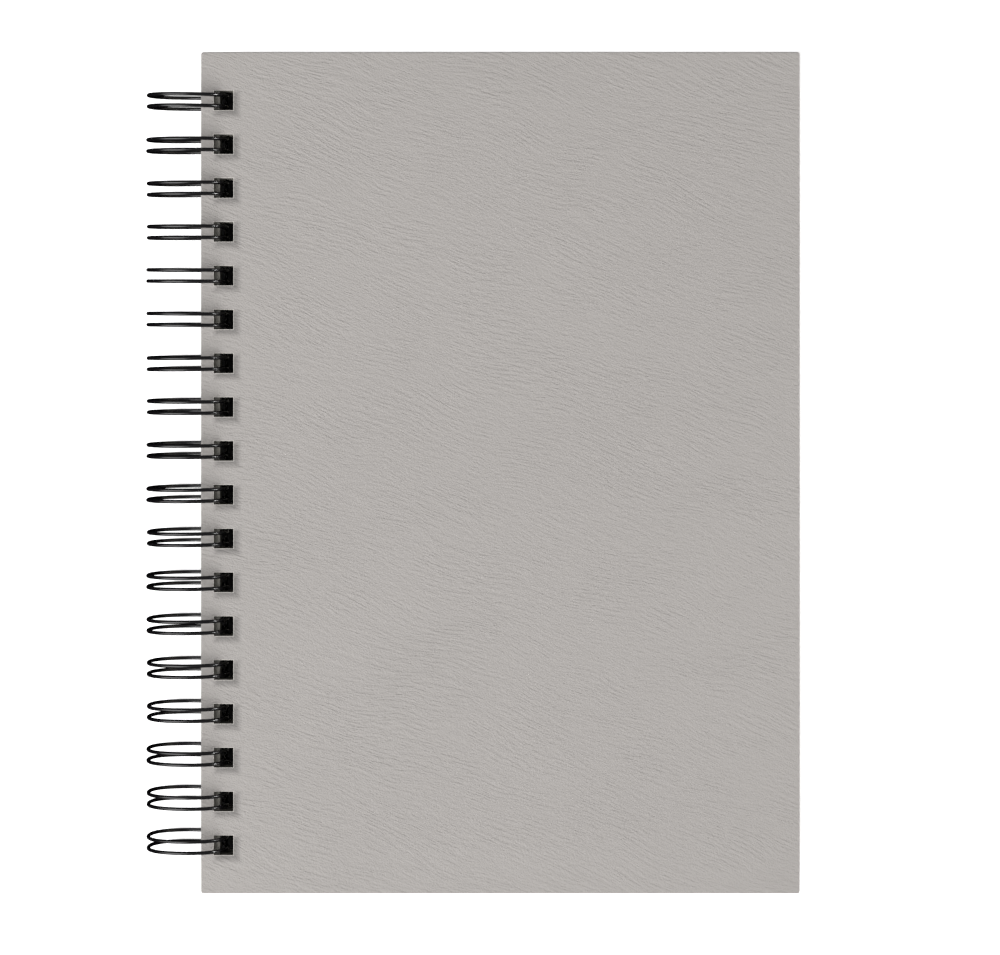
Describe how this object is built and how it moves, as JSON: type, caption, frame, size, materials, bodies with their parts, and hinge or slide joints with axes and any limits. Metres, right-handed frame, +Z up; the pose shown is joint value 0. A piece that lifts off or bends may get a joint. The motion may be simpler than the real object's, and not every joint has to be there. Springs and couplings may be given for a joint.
{
  "type": "spiral notebook",
  "caption": "Hardcover notebook: punched leatherette covers and a block of sheets, bound along the spine edge by a black wire of twin loops that the covers swing about.",
  "frame": {"origin": "under the middle of the closed book, level with the lowest point of the wire", "axes": "+X from the wire to the fore edge, +Y from foot to head along the spine, +Z up out of the front cover"},
  "size_m": [0.1902, 0.244, 0.0244],
  "materials": {
    "cover_leatherette": "matt embossed leatherette on board",
    "sheets": "uncoated",
    "coated_wire": "black nylon-coated steel wire, satin"
  },
  "bodies": {
    "block": {"page_block": "sheets", "binding_wire": "coated_wire"},
    "front_cover": {"front_cover": "cover_leatherette"},
    "back_cover": {"back_cover": "cover_leatherette"}
  },
  "joints": [
    {"name": "front_cover_swing", "type": "hinge", "parent": "block", "child": "front_cover", "pos_m": [-0.0829, 0, 0.0122], "axis": [0, -1, 0], "range_deg": [0, 240]},
    {"name": "back_cover_swing", "type": "hinge", "parent": "block", "child": "back_cover", "pos_m": [-0.0829, 0, 0.0122], "axis": [0, 1, 0], "range_deg": [0, 240]}
  ]
}
